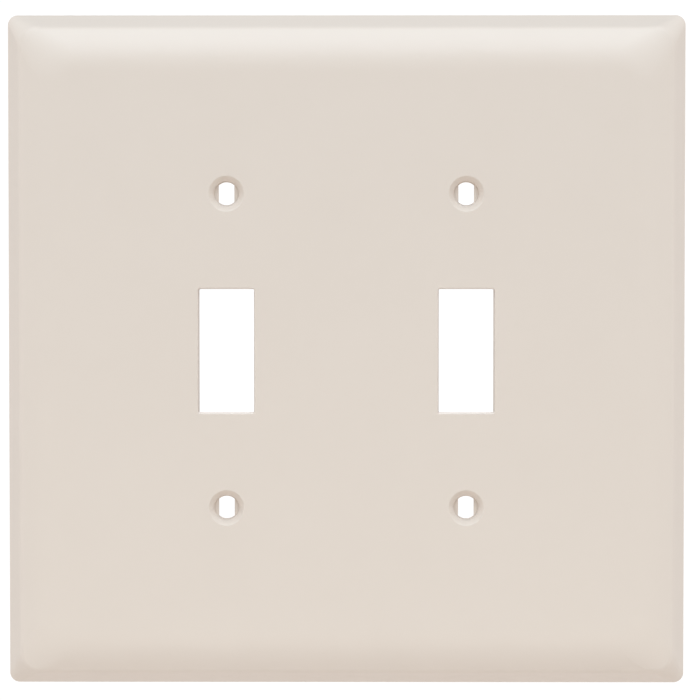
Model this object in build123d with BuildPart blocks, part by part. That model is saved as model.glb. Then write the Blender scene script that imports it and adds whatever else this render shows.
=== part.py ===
from build123d import *

import os
from math import asin, cos, radians, sin, tan

# Two-gang wall plate for two toggle switches, moulded in one piece.
#
# Frame: X runs to the right, Z up, and the front faces -Y. The origin is the
# centre of the rim, on the wall plane, so the plate stands in front of Y = 0.
# All dimensions are in millimetres, and heights are measured from the wall.

INCH = 25.4

# Outline of the rim
plate_width = 130.8
plate_height = 129.2
rim_corner_radius = 1.9

# Outer skin: a drafted flank, then a crown that rolls over into the flat face. The crown's
# corners are the most rounded halfway up, by the easing more than at its foot and the face.
plate_depth = 6.35
flank_inset = 2.45
crown_width = 8.5
crown_drop = 2.45
crown_steps = 6
crown_foot_radius = 2.0
foot_corner_radius = 4.0
face_corner_radius = 1.0
corner_easing = 3.0

# Hollow back
wall_thickness = 2.4
land_width = 2.1
land_corner_radius = 1.2
knee_height = 2.0
knee_inset = 3.6
knee_corner_radius = 4.5
floor_inset = 8.1
floor_corner_radius = 4.0

# Standard spacing of ganged switches and of their cover screws
gang_spacing = 1.8125 * INCH
screw_spacing = 2.375 * INCH

# Toggle openings, measured at the back of the face, where they are narrowest, and the
# collars that stand around them
toggle_width = 10.5
toggle_height = 23.7
toggle_corner_radius = 0.25
toggle_draft = 4.5
toggle_lip_radius = 0.15
collar_gap = 0.4
collar_width = 1.1
collar_height = 0.7

# Screw holes: head seat, neck, bore, throat, and two tabs that hold the screw captive
seat_radius = 3.4
seat_angle = 82
neck_radius = 2.65
neck_angle = 50
bore_radius = 2.4
bore_depth = 1.9
hole_lip_radius = 0.25
boss_radius = 4.6
boss_height = 0.6
throat_radius = 2.2
throat_ring_radius = 3.5
tab_gap = 3.0
tab_width = 0.9
tab_height = 3.4
tab_thickness = 0.6
tab_edge_radius = 0.3

# Stiffening ribs on the inside of the face
rib_thickness = 1.2
rib_height = 1.6
rib_root = 0.3
rib_end_inset = 4.0
side_rib_place = 46.0
cross_rib_place = 48.0

# Low round pads left by the ejector pins
ejector_radius = 2.5
ejector_height = 0.2
ejector_spacing_x = 69.0
ejector_spacing_z = 38.0

# Worked out from the above
flank_height = plate_depth - crown_drop
crown_radius = (crown_width**2 + crown_drop**2) / (2 * crown_drop)
crown_angle = asin(crown_width / crown_radius)
floor_height = plate_depth - wall_thickness
collar_reach = collar_gap + collar_width
seat_depth = (seat_radius - neck_radius) / tan(radians(seat_angle / 2))
throat_height = plate_depth - bore_depth
throat_length = wall_thickness + boss_height - bore_depth
rib_low_height = floor_height - rib_height
rib_full_height = rib_height + rib_root
rib_length_x = plate_width - 2 * rib_end_inset
rib_length_z = plate_height - 2 * rib_end_inset

# How far from a height an edge may lie and still be taken as lying on it
height_margin = 0.01

wall = Plane.XZ
face = wall.offset(plate_depth)
floor = wall.offset(floor_height)
throat = wall.offset(throat_height)

# Each section is its height above the wall, its inset from the rim and its
# corner radius.
flank_sections = [
    (0, 0, rim_corner_radius),
    (flank_height, flank_inset, foot_corner_radius),
]

hollow_sections = [
    (0, land_width, land_corner_radius),
    (knee_height, knee_inset, knee_corner_radius),
    (floor_height, floor_inset, floor_corner_radius),
]

crown_sections = []
for step in range(crown_steps + 1):
    angle = crown_angle * (1 - step / crown_steps)
    reach = crown_radius * sin(angle)
    drop = crown_radius * (1 - cos(angle))
    share = reach / crown_width
    corner_radius = face_corner_radius * (1 - share) + foot_corner_radius * share
    corner_radius += corner_easing * 4 * share * (1 - share)
    crown_sections.append((plate_depth - drop, flank_inset + crown_width - reach, corner_radius))

with BuildPart() as wall_plate:
    # Drafted flank, from the rim to the foot of the crown
    for height, inset, corner_radius in flank_sections:
        with BuildSketch(wall.offset(height)):
            RectangleRounded(plate_width - 2 * inset, plate_height - 2 * inset, corner_radius)
    loft(ruled=True)

    # Crown, an arc in section that ends tangent to the face
    for height, inset, corner_radius in crown_sections:
        with BuildSketch(wall.offset(height)):
            RectangleRounded(plate_width - 2 * inset, plate_height - 2 * inset, corner_radius)
    loft()

    # The foot of the crown is slightly softened
    crown_foot = wall_plate.edges().filter_by_position(
        Axis.Y, -flank_height - height_margin, -flank_height + height_margin
    )
    fillet(crown_foot, crown_foot_radius)

    # Hollow back
    for height, inset, corner_radius in hollow_sections:
        with BuildSketch(wall.offset(height)):
            RectangleRounded(plate_width - 2 * inset, plate_height - 2 * inset, corner_radius)
    loft(ruled=True, mode=Mode.SUBTRACT)

    # Ribs that run up, between and beside the two switches
    with BuildSketch(wall.offset(rib_low_height)):
        Rectangle(rib_thickness, rib_length_z)
        with GridLocations(2 * side_rib_place, 0, 2, 1):
            Rectangle(rib_thickness, rib_length_z)
        with GridLocations(0, 2 * cross_rib_place, 1, 2):
            Rectangle(rib_length_x, rib_thickness)
    extrude(amount=rib_full_height)

    # Bosses behind the screw holes, and collars around the toggle openings
    with BuildSketch(floor):
        with GridLocations(gang_spacing, screw_spacing, 2, 2):
            Circle(boss_radius)
    extrude(amount=-boss_height)
    with BuildSketch(floor):
        with GridLocations(gang_spacing, 0, 2, 1):
            Rectangle(toggle_width + 2 * collar_reach, toggle_height + 2 * collar_reach)
            Rectangle(toggle_width + 2 * collar_gap, toggle_height + 2 * collar_gap, mode=Mode.SUBTRACT)
    extrude(amount=-collar_height)

    # Toggle openings, which widen towards the front and end in a softened lip
    with BuildSketch(floor):
        with GridLocations(gang_spacing, 0, 2, 1):
            RectangleRounded(toggle_width, toggle_height, toggle_corner_radius)
    extrude(amount=wall_thickness, taper=-toggle_draft, mode=Mode.SUBTRACT)
    fillet(wall_plate.edges(Select.LAST).group_by(Axis.Y)[0], toggle_lip_radius)

    # Screw holes, with a softened front lip
    with Locations(face):
        with GridLocations(gang_spacing, screw_spacing, 2, 2):
            CounterSinkHole(bore_radius, seat_radius, counter_sink_angle=seat_angle)
    fillet(wall_plate.edges(Select.LAST).group_by(Axis.Y)[0], hole_lip_radius)
    with Locations(face.offset(-seat_depth)):
        with GridLocations(gang_spacing, screw_spacing, 2, 2):
            CounterSinkHole(bore_radius, neck_radius, counter_sink_angle=neck_angle)

    # Throat behind each bore, and the two tabs at its front, rounded towards the screw
    with BuildSketch(throat):
        with GridLocations(gang_spacing, screw_spacing, 2, 2):
            Circle(throat_ring_radius)
            Circle(throat_radius, mode=Mode.SUBTRACT)
    extrude(amount=-throat_length)
    with BuildSketch(throat):
        with GridLocations(gang_spacing, screw_spacing, 2, 2):
            with GridLocations(tab_gap + tab_width, 0, 2, 1):
                Rectangle(tab_width, tab_height)
    extrude(amount=-tab_thickness)
    fillet(wall_plate.edges(Select.LAST).filter_by(Axis.Z).group_by(Axis.Y)[0], tab_edge_radius)

    # Ejector-pin pads
    with BuildSketch(floor):
        with GridLocations(ejector_spacing_x, ejector_spacing_z, 2, 3):
            Circle(ejector_radius)
    extrude(amount=-ejector_height)

wall_plate.part.label = "wall_plate"

os.makedirs("parts", exist_ok=True)
export_step(wall_plate.part, "parts/wall_plate.step")
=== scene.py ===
import math

import bpy
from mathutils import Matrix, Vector


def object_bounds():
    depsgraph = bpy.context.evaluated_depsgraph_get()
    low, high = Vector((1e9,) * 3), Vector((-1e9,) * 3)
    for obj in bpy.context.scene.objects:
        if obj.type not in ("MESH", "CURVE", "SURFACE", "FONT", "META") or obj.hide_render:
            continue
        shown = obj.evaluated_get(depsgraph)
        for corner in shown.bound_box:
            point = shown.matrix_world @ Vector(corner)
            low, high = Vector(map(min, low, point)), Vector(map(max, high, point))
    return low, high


# Sizes are in metres, but the camera's lens and sensor are in millimetres. Angles are in
# degrees, and azimuth 0 is in front of the plate.

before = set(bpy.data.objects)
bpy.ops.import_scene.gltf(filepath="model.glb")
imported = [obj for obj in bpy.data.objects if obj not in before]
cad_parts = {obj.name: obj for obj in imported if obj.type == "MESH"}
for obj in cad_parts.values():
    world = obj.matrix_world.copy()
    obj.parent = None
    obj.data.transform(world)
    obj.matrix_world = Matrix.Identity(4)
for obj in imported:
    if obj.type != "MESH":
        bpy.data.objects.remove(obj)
cad_low, cad_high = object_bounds()
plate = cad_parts["wall_plate"]

# Camera, aimed at the middle of the rim
CAMERA_DISTANCE = 0.65
CAMERA_AZIMUTH = 0.4
CAMERA_ELEVATION = 2.1
CAMERA_LENS = 172.6
CAMERA_SENSOR = 36.0
CAMERA_SHIFT = (0.005, -0.0002)
CAMERA_CLIP = 0.01

# Light almond nylon: two close shades of the moulding's colour, its satin surface and its fine
# grain. A detail is the number of finer octaves of noise.
SHADE_LIGHT = (0.728, 0.638, 0.565)
SHADE_DEEP = (0.712, 0.622, 0.549)
MOTTLE_SIZE = 0.020
MOTTLE_DETAIL = 3.0
SATIN_ROUGHNESS = 0.38
SATIN_VARIATION = 0.03
SATIN_PATCH_SIZE = 0.006
SATIN_DETAIL = 2.0
NYLON_IOR = 1.53
GRAIN_SIZE = 0.0004
GRAIN_HEIGHT = 0.000004
GRAIN_DETAIL = 1.0

# The studio's walls: place and brightness, from in front of the plate (0), past its
# sides (0.5), to behind it (1). The camera sees a plain background instead.
WALL_LEVELS = [
    (0.0, 0.0),
    (0.008, 0.0),
    (0.05, 0.39),
    (0.2, 0.39),
    (0.35, 1.06),
    (0.72, 1.06),
    (0.9, 0.45),
]
BACKGROUND = 1.05

# The dark part of the ceiling, above and behind the plate: where its middle is, the cosines
# of the angles from there at which it starts and is fully dark, and how much light is left
CEILING_AZIMUTH = 180
CEILING_ELEVATION = 65
CEILING_EDGE = (0.72, 0.92)
CEILING_LEVEL = 0.26

# Soft boxes: azimuth, elevation, distance, (width, height), brightness, colour
WHITE = (1.0, 1.0, 1.0)
KEY = (0, 50, 1.4, (1.8, 1.0), 2.76, (0.87, 1.0, 1.10))
BOUNCE = (0, -26, 0.37, (0.8, 0.12), 1.13, (0.90, 0.81, 0.64))
BACK_FILL = (180, 22, 1.4, (1.2, 0.8), 1.2, WHITE)

# Floor: how far it lies below the plate, half its width, and its plain pale paper
FLOOR_DROP = 0.26
FLOOR_REACH = 1.0
FLOOR_COLOUR = (0.84, 0.79, 0.765)
FLOOR_ROUGHNESS = 0.9


def direction(azimuth, elevation):
    """The unit vector from the plate towards an azimuth and an elevation."""
    a = math.radians(azimuth)
    e = math.radians(elevation)
    return Vector((math.sin(a) * math.cos(e), -math.cos(a) * math.cos(e), math.sin(e)))


def aim(thing):
    """Turns a camera or a light to face the origin."""
    thing.rotation_mode = "QUATERNION"
    thing.rotation_quaternion = (-thing.location).to_track_quat("-Z", "Y")


def set_inputs(node, **values):
    """Sets a node's inputs by name, with underscores for spaces."""
    for name, value in values.items():
        node.inputs[name.replace("_", " ")].default_value = value


# Materials

def noise(nodes, links, place, size, detail):
    """A noise texture in the plate's own coordinates, with features of the given size."""
    node = nodes.new("ShaderNodeTexNoise")
    set_inputs(node, Scale=1 / size, Detail=detail)
    links.new(place.outputs["Object"], node.inputs["Vector"])
    return node.outputs["Fac"]


def light_almond_nylon():
    """Satin moulded plastic: barely mottled, a little uneven in gloss, with a very fine grain."""
    material = bpy.data.materials.new("light_almond_nylon")
    material.use_nodes = True
    nodes = material.node_tree.nodes
    links = material.node_tree.links
    shader = nodes["Principled BSDF"]
    set_inputs(shader, IOR=NYLON_IOR)
    place = nodes.new("ShaderNodeTexCoord")

    mottle = nodes.new("ShaderNodeMix")
    mottle.data_type = "RGBA"
    mottle.inputs["A"].default_value = (*SHADE_DEEP, 1.0)
    mottle.inputs["B"].default_value = (*SHADE_LIGHT, 1.0)
    links.new(noise(nodes, links, place, MOTTLE_SIZE, MOTTLE_DETAIL), mottle.inputs["Factor"])
    links.new(mottle.outputs["Result"], shader.inputs["Base Color"])

    satin = nodes.new("ShaderNodeMapRange")
    satin.inputs["To Min"].default_value = SATIN_ROUGHNESS - SATIN_VARIATION
    satin.inputs["To Max"].default_value = SATIN_ROUGHNESS + SATIN_VARIATION
    links.new(noise(nodes, links, place, SATIN_PATCH_SIZE, SATIN_DETAIL), satin.inputs["Value"])
    links.new(satin.outputs["Result"], shader.inputs["Roughness"])

    grain = nodes.new("ShaderNodeBump")
    set_inputs(grain, Distance=GRAIN_HEIGHT)
    links.new(noise(nodes, links, place, GRAIN_SIZE, GRAIN_DETAIL), grain.inputs["Height"])
    links.new(grain.outputs["Normal"], shader.inputs["Normal"])
    return material


def floor_paper():
    """Plain matt paper."""
    material = bpy.data.materials.new("floor_paper")
    material.use_nodes = True
    shader = material.node_tree.nodes["Principled BSDF"]
    set_inputs(shader, Base_Color=(*FLOOR_COLOUR, 1.0), Roughness=FLOOR_ROUGHNESS)
    return material


# Camera, studio and lights

def make_camera():
    """A long lens in front of the plate, a little above its middle."""
    data = bpy.data.cameras.new("camera")
    camera = bpy.data.objects.new("camera", data)
    bpy.context.scene.collection.objects.link(camera)
    camera.location = direction(CAMERA_AZIMUTH, CAMERA_ELEVATION) * CAMERA_DISTANCE
    aim(camera)
    data.sensor_width = CAMERA_SENSOR
    data.lens = CAMERA_LENS
    data.shift_x, data.shift_y = CAMERA_SHIFT
    data.clip_start = CAMERA_CLIP
    bpy.context.scene.camera = camera


def soft_box(name, azimuth, elevation, distance, size, brightness, colour):
    """A rectangular light that faces the plate and that the camera doesn't see."""
    data = bpy.data.lights.new(name, "AREA")
    data.shape = "RECTANGLE"
    data.size, data.size_y = size
    data.energy = brightness * math.pi * data.size * data.size_y
    data.color = colour
    light = bpy.data.objects.new(name, data)
    bpy.context.scene.collection.objects.link(light)
    light.location = direction(azimuth, elevation) * distance
    aim(light)
    light.visible_camera = False


def wall_brightness(nodes, links, place):
    """The walls' brightness, by how far behind the plate they stand: Y runs from -1 to 1."""
    split = nodes.new("ShaderNodeSeparateXYZ")
    links.new(place.outputs["Generated"], split.inputs["Vector"])
    depth = nodes.new("ShaderNodeMapRange")
    set_inputs(depth, From_Min=-1.0, From_Max=1.0)
    links.new(split.outputs["Y"], depth.inputs["Value"])
    ramp = nodes.new("ShaderNodeValToRGB")
    elements = ramp.color_ramp.elements
    while len(elements) < len(WALL_LEVELS):
        elements.new(1.0)
    for element, (position, level) in zip(elements, WALL_LEVELS):
        element.position = position
        element.color = (level, level, level, 1.0)
    links.new(depth.outputs["Result"], ramp.inputs["Fac"])
    return ramp.outputs["Color"]


def ceiling_dimming(nodes, links, place):
    """The factor that darkens the part of the ceiling above and behind the plate."""
    nearness = nodes.new("ShaderNodeVectorMath")
    nearness.operation = "DOT_PRODUCT"
    nearness.inputs[1].default_value = direction(CEILING_AZIMUTH, CEILING_ELEVATION)
    links.new(place.outputs["Generated"], nearness.inputs[0])
    dim = nodes.new("ShaderNodeMapRange")
    dim.interpolation_type = "SMOOTHSTEP"
    start, full = CEILING_EDGE
    set_inputs(dim, From_Min=start, From_Max=full, To_Min=1.0, To_Max=CEILING_LEVEL)
    links.new(nearness.outputs["Value"], dim.inputs["Value"])
    return dim.outputs["Result"]


def make_studio():
    """A white room, seen by the camera as a plain white background."""
    world = bpy.data.worlds.new("studio")
    bpy.context.scene.world = world
    world.use_nodes = True
    nodes = world.node_tree.nodes
    links = world.node_tree.links
    place = nodes.new("ShaderNodeTexCoord")
    room = nodes.new("ShaderNodeMath")
    room.operation = "MULTIPLY"
    links.new(wall_brightness(nodes, links, place), room.inputs[0])
    links.new(ceiling_dimming(nodes, links, place), room.inputs[1])
    rays = nodes.new("ShaderNodeLightPath")
    seen = nodes.new("ShaderNodeMix")
    links.new(rays.outputs["Is Camera Ray"], seen.inputs["Factor"])
    links.new(room.outputs["Value"], seen.inputs["A"])
    set_inputs(seen, B=BACKGROUND)
    background = nodes["Background"]
    set_inputs(background, Color=(*WHITE, 1.0))
    links.new(seen.outputs["Result"], background.inputs["Strength"])


def make_floor():
    """A square of paper below the plate."""
    level = cad_low.z - FLOOR_DROP
    corners = [(-1, -1), (1, -1), (1, 1), (-1, 1)]
    mesh = bpy.data.meshes.new("floor")
    mesh.from_pydata([(x * FLOOR_REACH, y * FLOOR_REACH, level) for x, y in corners], [], [range(4)])
    floor = bpy.data.objects.new("floor", mesh)
    bpy.context.scene.collection.objects.link(floor)
    floor.data.materials.append(floor_paper())


plate.data.materials[0] = light_almond_nylon()
make_camera()
make_studio()
make_floor()
soft_box("key", *KEY)
soft_box("bounce", *BOUNCE)
soft_box("back_fill", *BACK_FILL)
bpy.context.scene.view_settings.view_transform = "Standard"
